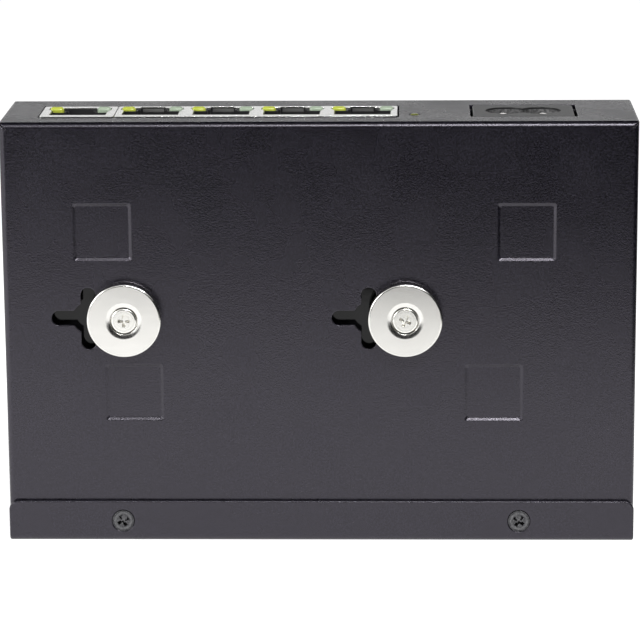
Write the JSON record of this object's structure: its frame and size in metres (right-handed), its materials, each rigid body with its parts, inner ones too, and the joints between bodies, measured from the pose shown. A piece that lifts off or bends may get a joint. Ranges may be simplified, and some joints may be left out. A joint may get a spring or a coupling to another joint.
{
  "type": "ethernet switch",
  "caption": "Desktop network switch in a flat folded steel housing with network sockets, a figure-eight mains inlet, ring magnets and wall-hanging holes.",
  "frame": {"origin": "middle of the rear wall's outer face, on which the switch stands", "axes": "+Z from the rear wall to the port panel, +X across the switch with the mains inlet on its +X half, +Y from the bottom plate to the lid"},
  "size_m": [0.136, 0.032, 0.0928],
  "materials": {
    "housing_paint": "fine-textured black powder coat",
    "film_black": "smooth black film",
    "nickel": "bright nickel plate",
    "zinc": "zinc plate",
    "screw_black": "black oxide",
    "shield_tin": "tinned",
    "moulding_black": "moulded",
    "contact_gold": "gold plated",
    "lamp_yellow": "tinted clear moulding",
    "lamp_green": "tinted clear moulding",
    "board_green": "solder mask",
    "heat_sink_metal": "black anodised or bare",
    "can_metal": "drawn can",
    "ferrite": "ferrite",
    "coil_tape": "polyester tape",
    "sleeve": "shrunk sleeve",
    "film_case": "moulded case"
  },
  "bodies": {
    "root": {"base_tray": "housing_paint", "board_screws": "zinc", "bridge_rectifier": "moulding_black", "bulk_capacitor": "sleeve", "crystal": "can_metal", "film_capacitor": "film_case", "flange_nuts": "zinc", "flange_screws": "screw_black", "fuse": "moulding_black", "gang_jack_contacts": "contact_gold", "gang_jack_housing": "moulding_black", "gang_jack_shield": "shield_tin", "heat_sink": "heat_sink_metal", "inlet_body": "moulding_black", "inlet_pins": "nickel", "insulating_film": "film_black", "lid": "housing_paint", "line_module_1": "moulding_black", "line_module_2": "moulding_black", "line_module_3": "moulding_black", "line_module_4": "moulding_black", "line_module_5": "moulding_black", "link_lamp_1": "lamp_yellow", "link_lamp_2": "lamp_yellow", "link_lamp_3": "lamp_yellow", "link_lamp_4": "lamp_yellow", "link_lamp_5": "lamp_yellow", "magnet_left": "nickel", "magnet_nuts": "zinc", "magnet_right": "nickel", "magnet_screws": "nickel", "main_board": "board_green", "mains_choke": "ferrite", "output_capacitors": "sleeve", "power_lamp": "lamp_yellow", "power_lamp_holder": "moulding_black", "single_jack_contacts": "contact_gold", "single_jack_housing": "moulding_black", "single_jack_shield": "shield_tin", "speed_lamp_1": "lamp_green", "speed_lamp_2": "lamp_green", "speed_lamp_3": "lamp_green", "speed_lamp_4": "lamp_green", "speed_lamp_5": "lamp_green", "standoffs": "zinc", "switch_chip": "moulding_black", "transformer_core": "ferrite", "transformer_winding": "coil_tape"}
  },
  "joints": []
}
